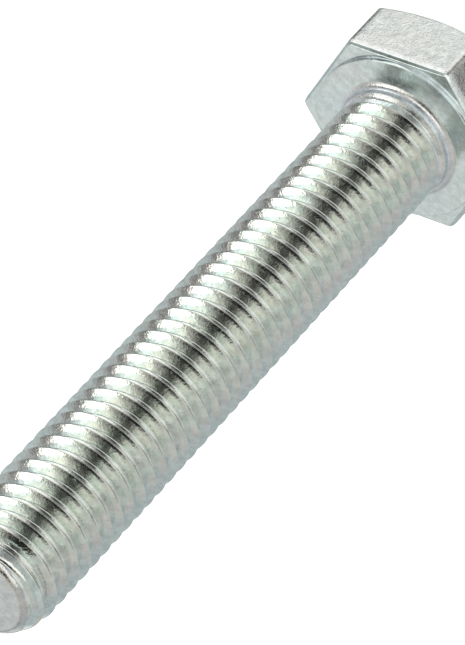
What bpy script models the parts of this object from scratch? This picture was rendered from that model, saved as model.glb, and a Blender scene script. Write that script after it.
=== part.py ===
"""Hexagon-head bolt, M10 x 1.5 x 60, threaded over its whole length. Metres, +Z up.

The bolt stands on its head: the origin is the centre of the head's top face and the shank points up.
The object is one forged and rolled piece, so it is one node.
"""

import math

import bpy

MM = 0.001

# Head
ACROSS_FLATS = 16.0
HEAD_HEIGHT = 6.4  # top face to bearing face, washer face included
TOP_FACE_DIA = 15.2
CHAMFER_DEG = 30.0
WASHER_FACE_DIA = 15.1
WASHER_FACE_HEIGHT = 0.4

# Shank
LENGTH = 60.0  # bearing face to tip
FILLET_DIA = 11.2  # where the fillet meets the bearing face
FILLET_HEIGHT = 0.5
COLLAR_DIA = 9.9  # short land between the fillet and the blank
COLLAR_HEIGHT = 0.85  # bearing face to the collar's edge
BLANK_DIA = 9.0  # unthreaded blank between the collar and the thread
BLANK_START = 1.0  # bearing face to the foot of the slope below the collar

# Thread, right-hand
PITCH = 1.5
MAJOR_DIA = 9.85
MINOR_DIA = 8.1
FLANK_DEG = 30.0
CREST_FLAT = PITCH / 8
FIRST_CREST = 0.83  # height of the first crest above the bearing face at angle 0
RUN_IN_TURNS = 0.8  # turns over which the thread reaches its full depth

# Tip
TIP_DIA = 7.4
TIP_CHAMFER_DEG = 45.0
TIP_CHAMFER_HEIGHT = 0.5
TAPER_DEG = 25.0  # below the chamfer the crests taper up to it, measured from the axis

SEGMENTS = 24  # a multiple of 12, so that the hexagon's corners fall on the grid


def angle_at(i):
    return 2 * math.pi * i / SEGMENTS


def hexagon_radius(angle):
    """Distance from the axis to the hexagon's side, with a flat facing +X."""
    from_flat = (angle + math.pi / 6) % (math.pi / 3) - math.pi / 6
    return ACROSS_FLATS / 2 / math.cos(from_flat)


def head_column(angle):
    """(radius, z) of the head at one angle, from the top face's rim to the foot of the fillet."""
    corner = hexagon_radius(angle)
    chamfer = (corner - TOP_FACE_DIA / 2) * math.tan(math.radians(CHAMFER_DEG))
    underside = HEAD_HEIGHT - WASHER_FACE_HEIGHT
    return [
        (TOP_FACE_DIA / 2, 0.0),
        (corner, chamfer),
        (corner, underside),
        (WASHER_FACE_DIA / 2, underside),
        (WASHER_FACE_DIA / 2, HEAD_HEIGHT),
        (FILLET_DIA / 2, HEAD_HEIGHT),
    ]


def fillet_column():
    """(radius, z) of the under-head fillet, a quarter ellipse, and of the collar above it."""
    reach = (FILLET_DIA - COLLAR_DIA) / 2
    points = []
    for step in (1, 2, 3):
        turn = math.radians(30 * step)
        radius = COLLAR_DIA / 2 + reach * (1 - math.sin(turn))
        points.append((radius, HEAD_HEIGHT + FILLET_HEIGHT * (1 - math.cos(turn))))
    points.append((COLLAR_DIA / 2, HEAD_HEIGHT + COLLAR_HEIGHT))
    points.append((BLANK_DIA / 2, HEAD_HEIGHT + BLANK_START))
    return points


def tip_radius(height):
    """Radius that the tip's chamfer and the taper below it leave at a height above the bearing face."""
    spread = math.tan(math.radians(TIP_CHAMFER_DEG))
    chamfer = TIP_DIA / 2 + (LENGTH - height) * spread
    shoulder = TIP_DIA / 2 + TIP_CHAMFER_HEIGHT * spread
    taper = shoulder + (LENGTH - TIP_CHAMFER_HEIGHT - height) * math.tan(math.radians(TAPER_DEG))
    return min(chamfer, taper)


def thread_row_offsets():
    """Heights of the four profile points of one pitch, measured from the crest's centre."""
    flank = (MAJOR_DIA - MINOR_DIA) / 2 * math.tan(math.radians(FLANK_DEG))
    return [-CREST_FLAT / 2 - flank, -CREST_FLAT / 2, CREST_FLAT / 2, CREST_FLAT / 2 + flank]


def thread_column(angle):
    """(radius, height) of the thread at one angle, from the foot of the collar to the tip's chamfer.

    Rows follow the helix. A row that would leave the threaded length is held at its end, so each
    column has the same number of points and the ends close with faces that vanish on welding.
    """
    low = BLANK_START
    high = LENGTH - (MINOR_DIA - TIP_DIA) / 2 / math.tan(math.radians(TIP_CHAMFER_DEG))
    offsets = thread_row_offsets()
    radii = [MINOR_DIA / 2, MAJOR_DIA / 2, MAJOR_DIA / 2, MINOR_DIA / 2]
    turns = math.ceil(LENGTH / PITCH) + 1
    rows = []
    for turn in range(-1, turns):
        along = turn + angle / (2 * math.pi)
        crest = FIRST_CREST + PITCH * along
        for offset, radius in zip(offsets, radii):
            height = crest + offset
            depth = min(max((along + offset / PITCH) / RUN_IN_TURNS, 0.0), 1.0)
            full = BLANK_DIA / 2 + (radius - BLANK_DIA / 2) * depth
            if height <= low:
                rows.append((BLANK_DIA / 2, low))
            elif height >= high:
                rows.append((MINOR_DIA / 2, high))
            else:
                rows.append((min(full, tip_radius(height)), height))
    return rows


class Surface:
    """Points in metres and triangles, with equal points placed once."""

    def __init__(self):
        self.points = []
        self.faces = []
        self.index = {}

    def place(self, radius, z, angle):
        x = round(radius * math.cos(angle), 5)
        y = round(radius * math.sin(angle), 5)
        key = (x, y, round(z, 5))
        if key not in self.index:
            self.index[key] = len(self.points)
            self.points.append(tuple(value * MM for value in key))
        return self.index[key]

    def triangle(self, a, b, c):
        """Leaves out a triangle that has closed up."""
        if len({a, b, c}) == 3:
            self.faces.append((a, b, c))

    def strip(self, left, right):
        """Joins two neighbouring columns that have the same number of points."""
        for j in range(len(left) - 1):
            self.triangle(left[j], right[j], right[j + 1])
            self.triangle(left[j], right[j + 1], left[j + 1])


def add_head(surface):
    """The head, the washer face, the fillet and the collar, up to where the thread starts."""
    centre = surface.place(0.0, 0.0, 0.0)
    columns = []
    for i in range(SEGMENTS):
        angle = angle_at(i)
        column = head_column(angle) + fillet_column()
        columns.append([surface.place(radius, z, angle) for radius, z in column])
    for i in range(SEGMENTS):
        right = columns[(i + 1) % SEGMENTS]
        surface.triangle(centre, right[0], columns[i][0])
        surface.strip(columns[i], right)


def add_thread(surface):
    """The thread and the flat end of the tip."""
    end = HEAD_HEIGHT + LENGTH
    centre = surface.place(0.0, end, 0.0)
    columns = []
    for i in range(SEGMENTS):
        angle = angle_at(i)
        column = [(radius, HEAD_HEIGHT + height) for radius, height in thread_column(angle)]
        columns.append([surface.place(radius, z, angle) for radius, z in column])
    for i in range(SEGMENTS):
        left = columns[i]
        right = columns[(i + 1) % SEGMENTS]
        rim = [surface.place(TIP_DIA / 2, end, angle_at(k)) for k in (i, i + 1)]
        if i == SEGMENTS - 1:
            # The helix has climbed one pitch by the seam, so the rows shift by one pitch.
            shift = len(thread_row_offsets())
            left = left[:-shift]
            right = right[shift:]
        surface.strip(left, right)
        surface.strip([left[-1], rim[0], centre], [right[-1], rim[1], centre])


def zinc_plate():
    material = bpy.data.materials.new("zinc_plated_steel")
    material.use_nodes = True
    shader = material.node_tree.nodes["Principled BSDF"]
    shader.inputs["Base Color"].default_value = (0.78, 0.80, 0.80, 1.0)
    shader.inputs["Metallic"].default_value = 1.0
    shader.inputs["Roughness"].default_value = 0.28
    return material


def clear_scene():
    for item in list(bpy.data.objects):
        bpy.data.objects.remove(item, do_unlink=True)


def build_bolt():
    surface = Surface()
    add_head(surface)
    add_thread(surface)
    mesh = bpy.data.meshes.new("hex_bolt")
    mesh.from_pydata(surface.points, [], surface.faces)
    mesh.validate()
    mesh.materials.append(zinc_plate())
    bolt = bpy.data.objects.new("hex_bolt", mesh)
    bpy.context.scene.collection.objects.link(bolt)
    return bolt


clear_scene()
build_bolt()
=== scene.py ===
"""Looks of the hex bolt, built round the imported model.

Lengths are in millimetres unless a name or a comment says otherwise.
"""

import math

import bpy
from mathutils import Matrix, Vector, noise


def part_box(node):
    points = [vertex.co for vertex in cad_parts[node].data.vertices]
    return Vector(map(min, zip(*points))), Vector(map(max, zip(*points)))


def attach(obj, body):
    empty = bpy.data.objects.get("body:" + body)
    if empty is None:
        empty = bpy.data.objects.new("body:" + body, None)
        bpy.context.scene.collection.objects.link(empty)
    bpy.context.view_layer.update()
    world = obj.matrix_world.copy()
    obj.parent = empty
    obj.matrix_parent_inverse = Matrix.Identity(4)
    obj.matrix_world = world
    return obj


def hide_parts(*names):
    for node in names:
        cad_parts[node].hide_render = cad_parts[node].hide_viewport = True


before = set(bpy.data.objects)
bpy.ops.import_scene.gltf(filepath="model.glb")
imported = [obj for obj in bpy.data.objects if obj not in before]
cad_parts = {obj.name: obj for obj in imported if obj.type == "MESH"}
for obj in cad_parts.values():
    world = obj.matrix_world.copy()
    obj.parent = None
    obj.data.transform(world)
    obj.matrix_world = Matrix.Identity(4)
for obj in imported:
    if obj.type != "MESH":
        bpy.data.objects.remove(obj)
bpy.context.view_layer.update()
MM = 0.001

# ---------------------------------------------------------------- sizes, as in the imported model
LOW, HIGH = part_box("hex_bolt")
ACROSS_FLATS = (HIGH.x - LOW.x) / MM
HEAD_HEIGHT = 6.4
END = HIGH.z / MM
TOP_FACE_DIA = 15.2
CHAMFER_DEG = 30.0
WASHER_FACE_DIA = 15.1
WASHER_FACE_HEIGHT = 0.4
FILLET_DIA = 11.2
FILLET_HEIGHT = 0.5
COLLAR_DIA = 9.9
COLLAR_HEIGHT = 0.85
BLANK_DIA = 9.0
BLANK_START = 1.0
PITCH = 1.5
MAJOR_DIA = 9.85
MINOR_DIA = 8.1
FLANK_DEG = 30.0
FIRST_CREST = 0.83
RUN_IN_TURNS = 0.8
TIP_DIA = 7.4
TIP_CHAMFER_HEIGHT = 0.5
TAPER_DEG = 25.0

# ---------------------------------------------------------------- rounding of the real edges
CORNER_ROUND = 0.55
TOP_EDGE_INSET = 0.2  # how far inside the top face's rim its rounding is centred
TOP_EDGE_ROUND = 0.25
CHAMFER_EDGE_ROUND = 0.2
UNDER_BAND_HEIGHT = 0.55  # the flats draw in over this height above their lower edge
UNDER_BAND_INSET = 0.08
UNDER_BAND_ROUND = 1.0
UNDER_CHAMFER = 0.2
UNDER_EDGE_ROUND = 0.08
WASHER_FOOT_ROUND = 0.05
WASHER_RIM_ROUND = 0.06
COLLAR_ROUND = 0.1
CREST_LAND = PITCH / 16  # the crest's flat, which rolling leaves narrower than the model's
CREST_ROUND = 0.03
ROOT_ROUND = 0.13
FLANK_CROWN = 0.014  # how far the middle of a thread flank bulges
TIP_EDGE_ROUND = 0.4

# ---------------------------------------------------------------- unevenness left by forging and rolling
THREAD_WAVE = 0.016
THREAD_WAVES_PER_MM = 0.8
HEAD_WAVE = 0.03
HEAD_WAVES_PER_MM = 0.35
TIP_WAVE = 0.06
TIP_WAVES_PER_MM = 0.9

SUPPORT = 0.4  # distance of the extra point beside an arc, as a share of its radius
FILLET_STEPS = 6
FLANK_SHARES = (0.04, 0.3, 0.65, 0.93)  # where a flank's points lie between the crest and the root
COLUMNS = 96
CORNER_CROWDING = 0.75  # how much closer the columns lie at the hexagon's corners


# ---------------------------------------------------------------- mesh
class Surface:
    """Points and faces of one closed skin, with equal points placed once."""

    def __init__(self):
        self.points = []
        self.faces = []
        self.zones = []
        self.index = {}

    def place(self, point):
        key = tuple(round(value, 5) for value in point)
        if key not in self.index:
            self.index[key] = len(self.points)
            self.points.append(key)
        return self.index[key]

    def face(self, corners, zone):
        """Leaves out repeated corners, and a face that has closed up."""
        kept = list(dict.fromkeys(corners))
        if len(kept) > 2:
            self.faces.append(kept)
            self.zones.append(zone)

    def strip(self, left, right, zones):
        """Joins two neighbouring columns that have the same number of points."""
        for j in range(len(left) - 1):
            self.face((left[j], right[j], right[j + 1], left[j + 1]), zones[j])


HEAD, WASHER, NECK, THREAD, TIP = range(5)
WASHER_ROWS = 23  # rows of the head's columns that have the washer face's finish, before the neck's
NECK_ROWS = 13  # rows of the fillet and the collar, at the end of the head's columns


def column_angle(i):
    """Angle of column i. Columns crowd towards the hexagon's six corners."""
    even = 2 * math.pi * i / COLUMNS
    return even - CORNER_CROWDING / 6 * math.sin(6 * (even - math.pi / 6))


def hexagon_radius(angle):
    """Distance from the axis to the side of the hexagon with its rounded corners, a flat facing +X."""
    apothem = ACROSS_FLATS / 2
    from_flat = abs((angle + math.pi / 6) % (math.pi / 3) - math.pi / 6)
    inner = apothem - CORNER_ROUND
    if apothem * math.tan(from_flat) <= inner * math.tan(math.pi / 6):
        return apothem / math.cos(from_flat)
    centre = inner / math.cos(math.pi / 6)
    off = math.pi / 6 - from_flat
    return centre * math.cos(off) + math.sqrt(CORNER_ROUND**2 - (centre * math.sin(off)) ** 2)


def rounded(corners):
    """A path through (across, along, rounding, steps) corners.

    A corner becomes an arc of steps + 1 points, with one more point on the straight at each side of it, so
    that smooth shading keeps the straights flat.
    """
    path = []
    last = len(corners) - 1
    for k, (across, along, rounding, steps) in enumerate(corners):
        here = Vector((across, along))
        if k in (0, last) or steps == 0:
            path.append(here)
            continue
        before = (Vector(corners[k - 1][:2]) - here).normalized()
        after = (Vector(corners[k + 1][:2]) - here).normalized()
        half = before.angle(after) / 2
        reach = rounding / math.tan(half)
        guard = reach + SUPPORT * rounding
        room = [(Vector(corners[j][:2]) - here).length * 0.5 for j in (k - 1, k + 1)]
        centre = here + (before + after).normalized() * (rounding / math.sin(half))
        start = here + before * reach - centre
        finish = here + after * reach - centre
        sweep = start.angle_signed(finish)
        path.append(here + before * min(guard, room[0]))
        for step in range(steps + 1):
            turn = Matrix.Rotation(-sweep * step / steps, 2)
            path.append(centre + turn @ start)
        path.append(here + after * min(guard, room[1]))
    return path


def head_path(angle):
    """(radius, z) down the head at one angle, from the top face's centre to the foot of the fillet."""
    corner = hexagon_radius(angle)
    chamfer = (corner - TOP_FACE_DIA / 2) * math.tan(math.radians(CHAMFER_DEG))
    underside = HEAD_HEIGHT - WASHER_FACE_HEIGHT
    path = rounded(
        [
            (0.0, 0.0, 0, 0),
            (TOP_FACE_DIA / 2 - TOP_EDGE_INSET, 0.0, TOP_EDGE_ROUND, 2),
            (corner, chamfer, CHAMFER_EDGE_ROUND, 3),
            (corner, underside - UNDER_BAND_HEIGHT, UNDER_BAND_ROUND, 2),
            (corner - UNDER_BAND_INSET, underside - UNDER_CHAMFER, UNDER_EDGE_ROUND, 2),
            (corner - UNDER_BAND_INSET - UNDER_CHAMFER, underside, UNDER_EDGE_ROUND, 2),
            (WASHER_FACE_DIA / 2, underside, WASHER_FOOT_ROUND, 3),
            (WASHER_FACE_DIA / 2, HEAD_HEIGHT, WASHER_RIM_ROUND, 3),
            (FILLET_DIA / 2, HEAD_HEIGHT, 0, 0),
        ]
    )
    return path + neck_path()


def neck_path():
    """(radius, z) of the fillet, the collar and the slope down to the blank."""
    reach = (FILLET_DIA - COLLAR_DIA) / 2
    path = []
    for step in range(1, FILLET_STEPS):
        turn = math.pi / 2 * step / FILLET_STEPS
        radius = COLLAR_DIA / 2 + reach * (1 - math.sin(turn))
        path.append(Vector((radius, HEAD_HEIGHT + FILLET_HEIGHT * (1 - math.cos(turn)))))
    collar = rounded(
        [
            (COLLAR_DIA / 2, HEAD_HEIGHT + FILLET_HEIGHT, 0, 0),
            (COLLAR_DIA / 2, HEAD_HEIGHT + COLLAR_HEIGHT, COLLAR_ROUND, 3),
            (BLANK_DIA / 2, HEAD_HEIGHT + BLANK_START, 0, 0),
        ]
    )
    return path + collar


def thread_profile():
    """(height from the crest's centre, radius) through one pitch, from root to root."""
    drop = (MAJOR_DIA - MINOR_DIA) / 2
    lean = math.radians(FLANK_DEG)
    flank = drop * math.tan(lean)
    straight = rounded(
        [
            (0.0, MAJOR_DIA / 2, 0, 0),
            (CREST_LAND / 2, MAJOR_DIA / 2, CREST_ROUND, 2),
            (CREST_LAND / 2 + flank, MINOR_DIA / 2, ROOT_ROUND, 2),
            (PITCH / 2, MINOR_DIA / 2, 0, 0),
        ]
    )
    crest, root = straight[2:6], straight[7:10]
    first, last = crest[-2], root[0]
    half = [straight[0]] + crest[:-1]
    for share in FLANK_SHARES:
        out = 4 * FLANK_CROWN * share * (1 - share)
        half.append(first.lerp(last, share) + Vector((math.cos(lean), math.sin(lean))) * out)
    half += root + [straight[-1]]
    other = [Vector((-point.x, point.y)) for point in reversed(half[1:])]
    return other + half[:-1]


def smooth(value):
    value = min(max(value, 0.0), 1.0)
    return value * value * (3 - 2 * value)


def tip_radius(height):
    """Radius that the 45 degree chamfer and the taper below it leave at a height above the bearing face."""
    left = END - HEAD_HEIGHT - height
    shoulder = TIP_DIA / 2 + TIP_CHAMFER_HEIGHT
    taper = shoulder + (left - TIP_CHAMFER_HEIGHT) * math.tan(math.radians(TAPER_DEG))
    return min(TIP_DIA / 2 + left, taper)


def thread_path(angle, profile):
    """(radius, z) up the thread at one angle. Rows follow the helix and are held at both ends."""
    low = BLANK_START
    high = END - HEAD_HEIGHT - (MINOR_DIA - TIP_DIA) / 2
    turns = math.ceil((END - HEAD_HEIGHT) / PITCH) + 1
    path = []
    for turn in range(-1, turns):
        along = turn + angle / (2 * math.pi)
        crest = FIRST_CREST + PITCH * along
        for offset, radius in profile:
            height = crest + offset
            depth = smooth((along + offset / PITCH) / RUN_IN_TURNS)
            full = BLANK_DIA / 2 + (radius - BLANK_DIA / 2) * depth
            if height <= low:
                path.append(Vector((BLANK_DIA / 2, HEAD_HEIGHT + low)))
            elif height >= high:
                path.append(Vector((MINOR_DIA / 2, HEAD_HEIGHT + high)))
            else:
                path.append(Vector((min(full, tip_radius(height)), HEAD_HEIGHT + height)))
    return path


def tip_path():
    """(radius, z) over the end of the chamfer and the end face to the axis."""
    path = rounded(
        [
            (MINOR_DIA / 2, END - (MINOR_DIA - TIP_DIA) / 2, 0, 0),
            (TIP_DIA / 2, END, TIP_EDGE_ROUND, 4),
            (0.0, END, 0, 0),
        ]
    )
    return path[1:]


def wave(point, per_mm):
    """Smooth unevenness from -1 to 1."""
    return noise.noise(Vector(point) * per_mm)


def placed(surface, path, angle):
    """Puts a column's points in the surface, with the unevenness of the real piece."""
    column = []
    for radius, z in path:
        spin = Vector((math.cos(angle), math.sin(angle), 0.0))
        spot = spin * radius + Vector((0.0, 0.0, z))
        if HEAD_HEIGHT + BLANK_START < z < END - TIP_EDGE_ROUND:
            spot += spin * THREAD_WAVE * wave(spot, THREAD_WAVES_PER_MM)
        elif z >= END - TIP_EDGE_ROUND and radius > TIP_DIA / 3:
            spot -= spin * TIP_WAVE * (0.5 + 0.5 * wave(spot, TIP_WAVES_PER_MM))
        elif radius > TOP_FACE_DIA / 2:
            spot -= spin * HEAD_WAVE * (0.5 + 0.5 * wave(spot, HEAD_WAVES_PER_MM))
        column.append(surface.place(spot))
    return column


def bolt_surface():
    surface = Surface()
    profile = thread_profile()
    columns = []
    for i in range(COLUMNS):
        angle = column_angle(i)
        plain = placed(surface, head_path(angle), angle)
        helix = placed(surface, thread_path(angle, profile), angle)
        end = placed(surface, tip_path(), angle)
        columns.append((plain, helix, end))
    head_rows = len(columns[0][0])
    plain_zones = [HEAD] * (head_rows - WASHER_ROWS - NECK_ROWS)
    plain_zones += [WASHER] * WASHER_ROWS + [NECK] * NECK_ROWS
    for i in range(COLUMNS):
        plain, helix, end = columns[i]
        next_plain, next_helix, next_end = columns[(i + 1) % COLUMNS]
        surface.strip(plain, next_plain, plain_zones)
        if i == COLUMNS - 1:
            # The helix has climbed one pitch by the seam, so the rows shift by one pitch.
            helix = helix[: -len(profile)]
            next_helix = next_helix[len(profile):]
        surface.strip(helix, next_helix, [THREAD] * len(helix))
        surface.strip([helix[-1]] + end, [next_helix[-1]] + next_end, [TIP] * (len(end) + 1))
    return surface


# ---------------------------------------------------------------- materials
# Tints of the film by how far the surface turns away, from 0 straight on to 1 edge on.
FILM_TINTS = (
    (0.0, (1.0, 0.97, 0.95, 1.0)),
    (0.08, (0.99, 1.0, 0.93, 1.0)),
    (0.15, (0.93, 1.0, 0.96, 1.0)),
    (0.25, (1.0, 0.94, 0.93, 1.0)),
    (0.35, (0.97, 0.98, 0.96, 1.0)),
    (0.46, (0.92, 0.98, 0.97, 1.0)),
    (0.72, (0.95, 0.98, 0.97, 1.0)),
)
FILM_DRIFT = 0.3
FILM_DRIFTS_PER_MM = 0.35
CLOUDS_PER_MM = 1.4
CLOUD_SHADES = (0.86, 1.05)
SPECKS_PER_MM = 4.5
PIT_LEVEL = 0.67  # height of the speck noise above which the plating is pitted
PIT_EDGE = 0.07
PIT_DEPTH = 0.8  # as a share of the grain's height
PIT_COLOUR = (0.22, 0.23, 0.22, 1.0)
DULL_SPOTS_PER_MM = 3.0
# Name, roughness, its spread, the grain's height and its bumps to a millimetre, colour, and share of the
# film's tint. The order is that of HEAD, WASHER, NECK, THREAD and TIP.
FINISHES = (
    ("zinc_head", 0.28, 0.08, 0.036, 6.0, (0.775, 0.79, 0.82, 1.0), 0.45),
    ("zinc_washer_face", 0.18, 0.05, 0.008, 5.0, (0.775, 0.835, 0.855, 1.0), 0.8),
    ("zinc_neck", 0.24, 0.06, 0.02, 5.0, (0.90, 0.88, 0.89, 1.0), 0.4),
    ("zinc_thread", 0.11, 0.04, 0.015, 5.0, (0.823, 0.848, 0.838, 1.0), 1.0),
    ("zinc_tip", 0.18, 0.06, 0.024, 5.0, (0.735, 0.715, 0.71, 1.0), 0.6),
)


class Nodes:
    """Short calls that build one node tree."""

    def __init__(self, tree):
        self.tree = tree

    def add(self, kind, inputs=(), **settings):
        made = self.tree.nodes.new(kind)
        for name, value in settings.items():
            setattr(made, name, value)
        for name, value in dict(inputs).items():
            if isinstance(value, bpy.types.NodeSocket):
                self.tree.links.new(value, made.inputs[name])
            else:
                made.inputs[name].default_value = value
        return made

    def math(self, operation, first, second=0.0):
        return self.add("ShaderNodeMath", {0: first, 1: second}, operation=operation).outputs[0]

    def ease(self, value, start, finish, low=0.0, high=1.0):
        """A smooth step from low to high as value goes from start to finish."""
        limits = {"Value": value, "From Min": start, "From Max": finish, "To Min": low, "To Max": high}
        return self.add("ShaderNodeMapRange", limits, interpolation_type="SMOOTHSTEP").outputs["Result"]

    def mix(self, share, first, second, blend="MIX"):
        """A blend of two colours."""
        made = self.tree.nodes.new("ShaderNodeMix")
        made.data_type = "RGBA"
        made.blend_type = blend
        # The node has a set of sockets for each data type, and 0, 6 and 7 are those of a colour.
        for number, value in ((0, share), (6, first), (7, second)):
            socket = made.inputs[number]
            if isinstance(value, bpy.types.NodeSocket):
                self.tree.links.new(value, socket)
            else:
                socket.default_value = value
        return made.outputs[2]

    def noise(self, place, per_mm, detail=2.0, roughness=0.5, distortion=0.0):
        """Noise with about per_mm bumps to a millimetre, from 0 to 1."""
        inputs = {
            "Vector": place,
            "Scale": per_mm / MM,
            "Detail": detail,
            "Roughness": roughness,
            "Distortion": distortion,
        }
        return self.add("ShaderNodeTexNoise", inputs).outputs["Fac"]


def zinc(name, rough, rough_spread, grain, grain_per_mm, colour, tint_share):
    """Bright zinc plating under a thin passivate film.

    The film's tint changes with the slope of the surface and drifts with its thickness. The plating follows
    the grain of the steel below it, and has fine pits.
    """
    material = bpy.data.materials.new(name)
    material.use_nodes = True
    nodes = Nodes(material.node_tree)
    shader = material.node_tree.nodes["Principled BSDF"]
    place = nodes.add("ShaderNodeTexCoord").outputs["Object"]

    slope = nodes.add("ShaderNodeLayerWeight", {"Blend": 0.5}).outputs["Facing"]
    drift = nodes.math("SUBTRACT", nodes.noise(place, FILM_DRIFTS_PER_MM, distortion=0.5), 0.5)
    film = nodes.math("ADD", slope, nodes.math("MULTIPLY", drift, FILM_DRIFT))
    hues = nodes.add("ShaderNodeValToRGB", {"Fac": film})
    ramp = hues.color_ramp
    ramp.elements[0].position, ramp.elements[0].color = FILM_TINTS[0]
    ramp.elements[1].position, ramp.elements[1].color = FILM_TINTS[-1]
    for position, tint in FILM_TINTS[1:-1]:
        ramp.elements.new(position).color = tint
    tinted = nodes.mix(tint_share, (1.0, 1.0, 1.0, 1.0), hues.outputs["Color"])
    metal = nodes.mix(1.0, colour, tinted, blend="MULTIPLY")

    cloud = nodes.noise(place, CLOUDS_PER_MM, detail=4.0, roughness=0.6)
    shade = nodes.ease(cloud, 0.3, 0.7, *CLOUD_SHADES)
    clouded = nodes.mix(1.0, metal, shade, blend="MULTIPLY")

    specks = nodes.noise(place, SPECKS_PER_MM, detail=3.0, roughness=0.65)
    pit = nodes.ease(specks, PIT_LEVEL, PIT_LEVEL + PIT_EDGE)
    pitted = nodes.mix(pit, clouded, PIT_COLOUR)
    nodes.tree.links.new(pitted, shader.inputs["Base Color"])

    dull = nodes.noise(place, DULL_SPOTS_PER_MM, detail=3.0)
    roughness = nodes.ease(dull, 0.3, 0.7, rough - rough_spread, rough + rough_spread)
    nodes.tree.links.new(roughness, shader.inputs["Roughness"])

    fine = nodes.noise(place, grain_per_mm, roughness=0.6)
    broad = nodes.noise(place, grain_per_mm / 5)
    height = nodes.math("ADD", fine, broad)
    sunk = nodes.math("SUBTRACT", height, nodes.math("MULTIPLY", pit, PIT_DEPTH))
    bump = nodes.add("ShaderNodeBump", {"Height": sunk, "Strength": 1.0, "Distance": grain * MM})
    nodes.tree.links.new(bump.outputs["Normal"], shader.inputs["Normal"])

    shader.inputs["Metallic"].default_value = 1.0
    return material


def build_bolt():
    surface = bolt_surface()
    mesh = bpy.data.meshes.new("zinc_plated_bolt")
    mesh.from_pydata([tuple(v * MM for v in p) for p in surface.points], [], surface.faces)
    for finish in FINISHES:
        mesh.materials.append(zinc(*finish))
    mesh.polygons.foreach_set("material_index", surface.zones)
    mesh.shade_smooth()
    mesh.update()
    bolt = bpy.data.objects.new("zinc_plated_bolt", mesh)
    bpy.context.scene.collection.objects.link(bolt)
    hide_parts("hex_bolt")
    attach(bolt, "root")
    return bolt


# ---------------------------------------------------------------- stage, light and camera
FLOOR_HALF_M = 3.0
FLOOR_DROP_M = 0.00002  # keeps the floor clear of the head's top face
FLOOR_GREY = 0.9
FLOOR_GLOW = 0.7
DOME_RADIUS_M = 2.0
DOME_RINGS = 12
DOME_SIDES = 48


def build_floor():
    mesh = bpy.data.meshes.new("floor")
    corners = [(x * FLOOR_HALF_M, y * FLOOR_HALF_M, 0) for x, y in ((-1, -1), (1, -1), (1, 1), (-1, 1))]
    mesh.from_pydata(corners, [], [(0, 1, 2, 3)])
    material = bpy.data.materials.new("floor_white")
    material.use_nodes = True
    shader = material.node_tree.nodes["Principled BSDF"]
    shader.inputs["Base Color"].default_value = (FLOOR_GREY, FLOOR_GREY, FLOOR_GREY, 1.0)
    shader.inputs["Roughness"].default_value = 0.9
    shader.inputs["Emission Color"].default_value = (1, 1, 1, 1)
    shader.inputs["Emission Strength"].default_value = FLOOR_GLOW
    mesh.materials.append(material)
    floor = bpy.data.objects.new("floor", mesh)
    bpy.context.scene.collection.objects.link(floor)
    floor.location.z = -FLOOR_DROP_M
    # The metal mirrors the studio patches of the world below, not the bright floor.
    floor.visible_glossy = False


def build_backdrop():
    """A white dome round the floor, which only the camera sees."""
    points = []
    faces = []
    for ring in range(DOME_RINGS):
        lean = math.pi / 2 * ring / DOME_RINGS
        across = DOME_RADIUS_M * math.cos(lean)
        for side in range(DOME_SIDES):
            turn = 2 * math.pi * side / DOME_SIDES
            points.append((across * math.cos(turn), across * math.sin(turn), DOME_RADIUS_M * math.sin(lean)))
    points.append((0.0, 0.0, DOME_RADIUS_M))
    for ring in range(DOME_RINGS):
        for side in range(DOME_SIDES):
            here = ring * DOME_SIDES + side
            beside = ring * DOME_SIDES + (side + 1) % DOME_SIDES
            if ring < DOME_RINGS - 1:
                faces.append((here, beside, beside + DOME_SIDES, here + DOME_SIDES))
            else:
                faces.append((here, beside, len(points) - 1))
    mesh = bpy.data.meshes.new("backdrop")
    mesh.from_pydata(points, [], faces)
    material = bpy.data.materials.new("backdrop_white")
    material.use_nodes = True
    shader = material.node_tree.nodes["Principled BSDF"]
    shader.inputs["Base Color"].default_value = (0.0, 0.0, 0.0, 1.0)
    shader.inputs["Emission Color"].default_value = (1.0, 1.0, 1.0, 1.0)
    shader.inputs["Emission Strength"].default_value = 1.0
    mesh.materials.append(material)
    dome = bpy.data.objects.new("backdrop", mesh)
    bpy.context.scene.collection.objects.link(dome)
    dome.visible_diffuse = False
    dome.visible_glossy = False
    dome.visible_transmission = False
    dome.visible_shadow = False


CAMERA_TARGET = (-0.25, 0.0, 31.8)
CAMERA_DISTANCE = 393.9
CAMERA_HEADING_DEG = 86.99
CAMERA_DOWN_DEG = 38.49
CAMERA_ROLL_DEG = -137.44
CAMERA_LENS = 283.7
CAMERA_SENSOR = 36.0


def build_camera():
    target = Vector(CAMERA_TARGET) * MM
    distance = CAMERA_DISTANCE * MM
    heading = math.radians(CAMERA_HEADING_DEG)
    down = math.radians(CAMERA_DOWN_DEG)
    roll = math.radians(CAMERA_ROLL_DEG)
    forward = Vector(
        (math.cos(down) * math.cos(heading), math.cos(down) * math.sin(heading), -math.sin(down))
    )
    level = forward.cross(Vector((0, 0, 1))).normalized()
    above = level.cross(forward)
    right = level * math.cos(roll) + above * math.sin(roll)
    up = above * math.cos(roll) - level * math.sin(roll)
    data = bpy.data.cameras.new("camera")
    data.lens = CAMERA_LENS
    data.sensor_width = CAMERA_SENSOR
    data.clip_start = 0.01
    camera = bpy.data.objects.new("camera", data)
    camera.matrix_world = Matrix.Translation(target - forward * distance) @ Matrix(
        (right, up, -forward)
    ).transposed().to_4x4()
    bpy.context.scene.collection.objects.link(camera)
    bpy.context.scene.camera = camera


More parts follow.
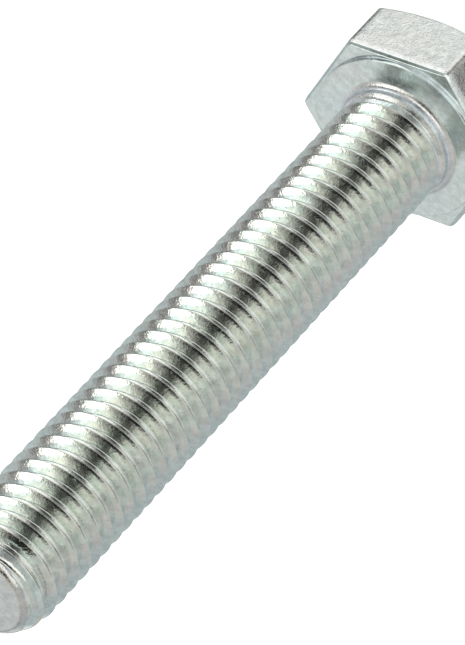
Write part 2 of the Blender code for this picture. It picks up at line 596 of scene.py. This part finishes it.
# The studio round the bolt. Each row has the azimuth of a patch, its angle from straight up, the radius
# of its even part and of the whole patch, all in degrees, and a strength.
BASE_LIGHT = 0.54
COOL_LIGHT = (0.93, 1.0, 1.02, 1.0)  # from round the horizon
WARM_LIGHT = (1.0, 1.0, 0.93, 1.0)  # from overhead and from below
PANELS = (
    (9.5, 32.5, 9.5, 12.5, 2.4),
    (50, 27, 5.0, 16.0, 0.6),
    (-128, 49, 9.0, 20.0, 0.75),
    (-98, 50, 9.0, 15.0, 0.7),
    (-68, 50, 9.0, 15.0, 0.7),
    (166, 32, 14.0, 26.0, 0.07),
    (-75, 172, 14.0, 30.0, 0.6),
    (62, 64, 12.0, 18.0, 0.16),
    (87, 51, 9.0, 18.0, 0.24),
    (-128, 106, 14.0, 30.0, 0.4),
    (180, 98, 8.0, 30.0, 0.16),
    (-28, 99, 11.0, 24.0, 0.9),
    (-8, 93, 9.0, 18.0, 0.75),
    (-38, 131, 14.0, 26.0, 0.68),
    (108, 96, 5.0, 12.0, 0.35),
)
# Black flags. The strength is the share of the light that the flag takes away.
FLAGS = (
    (-85, 8, 6.0, 20.0, 0.86),
    (-112, 15, 9.0, 18.0, 0.85),
    (-24, 48, 4.0, 10.0, 0.9),
    (-8, 51, 5.0, 10.0, 0.93),
    (10, 53, 5.0, 10.0, 0.93),
    (26, 51, 3.0, 8.0, 0.6),
    (42, 46, 3.0, 6.0, 0.85),
    (55, 46, 3.0, 7.0, 0.85),
    (12, 74, 3.0, 10.0, 0.45),
    (6, 133, 13.0, 26.0, 0.75),
    (-148, 138, 14.0, 25.0, 0.75),
    (-84, 94, 5.0, 13.0, 0.6),
    (-82, 108, 5.0, 21.0, 0.86),
    (-87, 128, 8.0, 20.0, 0.6),
    (-88, 78, 10.0, 18.0, 0.45),
    (108, 60, 8.0, 20.0, 0.2),
)


def build_world():
    world = bpy.data.worlds.new("studio")
    bpy.context.scene.world = world
    world.use_nodes = True
    nodes = Nodes(world.node_tree)
    background = world.node_tree.nodes["Background"]
    direction = nodes.add("ShaderNodeTexCoord").outputs["Generated"]

    def patch(azimuth, polar, even, whole):
        turn, lean = math.radians(azimuth), math.radians(polar)
        towards = (math.sin(lean) * math.cos(turn), math.sin(lean) * math.sin(turn), math.cos(lean))
        facing = nodes.add("ShaderNodeVectorMath", {0: direction, 1: towards}, operation="DOT_PRODUCT")
        limits = math.cos(math.radians(whole)), math.cos(math.radians(even))
        return nodes.ease(facing.outputs["Value"], *limits)

    light = BASE_LIGHT
    for *place, share in FLAGS:
        kept = nodes.math("SUBTRACT", 1.0, nodes.math("MULTIPLY", patch(*place), share))
        light = nodes.math("MULTIPLY", light, kept)
    for *place, strength in PANELS:
        light = nodes.math("ADD", light, nodes.math("MULTIPLY", patch(*place), strength))
    height = nodes.add("ShaderNodeSeparateXYZ", {0: direction}).outputs["Z"]
    above = nodes.ease(height, 0.45, 0.8)
    below = nodes.ease(height, -0.05, -0.25)
    warm = nodes.math("MAXIMUM", above, below)
    tint = nodes.mix(warm, COOL_LIGHT, WARM_LIGHT)
    nodes.tree.links.new(tint, background.inputs["Color"])
    nodes.tree.links.new(light, background.inputs["Strength"])


build_bolt()
build_floor()
build_backdrop()
build_world()
build_camera()
bpy.context.scene.view_settings.view_transform = "Standard"
